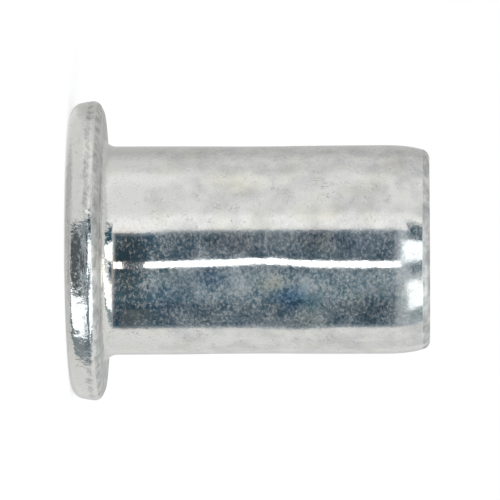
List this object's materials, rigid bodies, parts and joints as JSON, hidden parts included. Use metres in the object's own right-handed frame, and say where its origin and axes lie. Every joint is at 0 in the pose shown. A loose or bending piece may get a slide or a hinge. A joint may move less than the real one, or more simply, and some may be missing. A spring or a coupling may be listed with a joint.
{
  "type": "rivet nut",
  "caption": "Flat-head, plain round-body rivet nut with an open threaded tail, set from one side of a sheet to give it a metric screw thread.",
  "frame": {"origin": "centre of the head's outer face", "axes": "+Z along the nut's axis, from the head to the threaded tail"},
  "size_m": [0.013, 0.013, 0.0154],
  "materials": {
    "zinc_plated_steel": "satin"
  },
  "bodies": {
    "root": {"rivet_nut": "zinc_plated_steel"}
  },
  "joints": []
}
